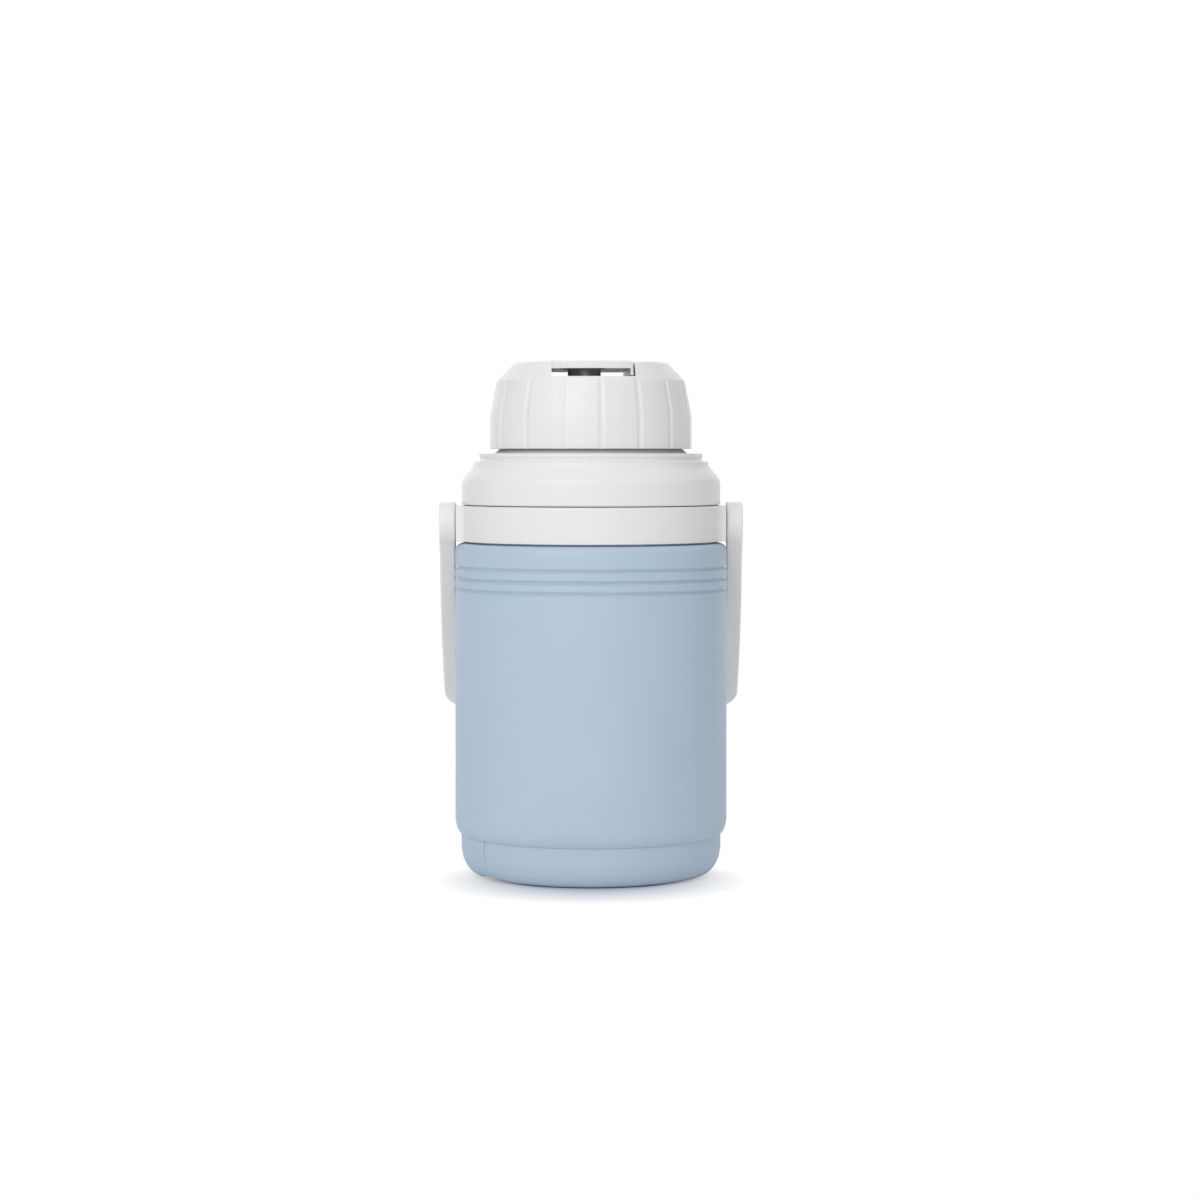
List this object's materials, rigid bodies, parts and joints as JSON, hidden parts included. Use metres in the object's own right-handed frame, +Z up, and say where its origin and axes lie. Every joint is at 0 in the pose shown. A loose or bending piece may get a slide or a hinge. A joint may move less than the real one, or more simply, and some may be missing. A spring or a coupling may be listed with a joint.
{
  "type": "insulated water jug",
  "caption": "Insulated water jug with a bail handle, a fluted screw cap and a flip strap that plugs its drinking spout.",
  "frame": {"origin": "middle of the flat pad under the base, at ground level", "axes": "+Z up along the jug's axis; -Y is the front; +X is the right side seen from the front and the handle's pivot axis; the handle rests folded towards +Y"},
  "size_m": [0.1528, 0.1529, 0.2524],
  "materials": {
    "blue_plastic": "satin moulded plastic, powder blue",
    "white_plastic": "satin moulded plastic, cool white",
    "liner_plastic": "smooth food-grade plastic, natural white",
    "foam": null,
    "seal_rubber": "matt silicone, pale grey",
    "plug_rubber": "matt silicone, grey",
    "steel": "plain steel wire"
  },
  "bodies": {
    "jug_body": {"outer_shell": "blue_plastic", "base_cup": "blue_plastic", "foam_fill_plug": "seal_rubber", "insulation_foam": "foam", "inner_liner": "liner_plastic", "handle_collar": "white_plastic", "shoulder_ring": "white_plastic", "shoulder_gasket": "seal_rubber", "pivot_pin_left": "white_plastic", "pivot_pin_right": "white_plastic"},
    "handle": {"bail_handle": "white_plastic"},
    "cap_carrier": {"cap_gasket": "seal_rubber"},
    "cap": {"cap_shell": "white_plastic", "cap_liner": "liner_plastic", "cap_foam": "foam", "drink_spout": "white_plastic", "spout_seal": "seal_rubber", "strap_hinge_pin": "steel"},
    "strap": {"flip_strap": "white_plastic", "spout_plug": "plug_rubber"}
  },
  "joints": [
    {"name": "handle_swing", "type": "hinge", "parent": "jug_body", "child": "handle", "pos_m": [0, 0, 0.1728], "axis": [1, 0, 0], "range_deg": [0, 278]},
    {"name": "cap_rise", "type": "slide", "parent": "jug_body", "child": "cap_carrier", "axis": [0, 0, 1], "range_m": [0, 0.0063]},
    {"name": "cap_turn", "type": "hinge", "parent": "cap_carrier", "child": "cap", "pos_m": [0, 0, 0.2096], "axis": [0, 0, 1], "range_deg": [0, 450]},
    {"name": "strap_flip", "type": "hinge", "parent": "cap", "child": "strap", "pos_m": [0.02238, 0.00082, 0.2499], "axis": [-0.0366, 0.9993, 0], "range_deg": [0, 105]}
  ],
  "couplings": [
    {"joint": "cap_rise", "follows": "cap_turn", "m_per_rad": 0.00079577}
  ]
}
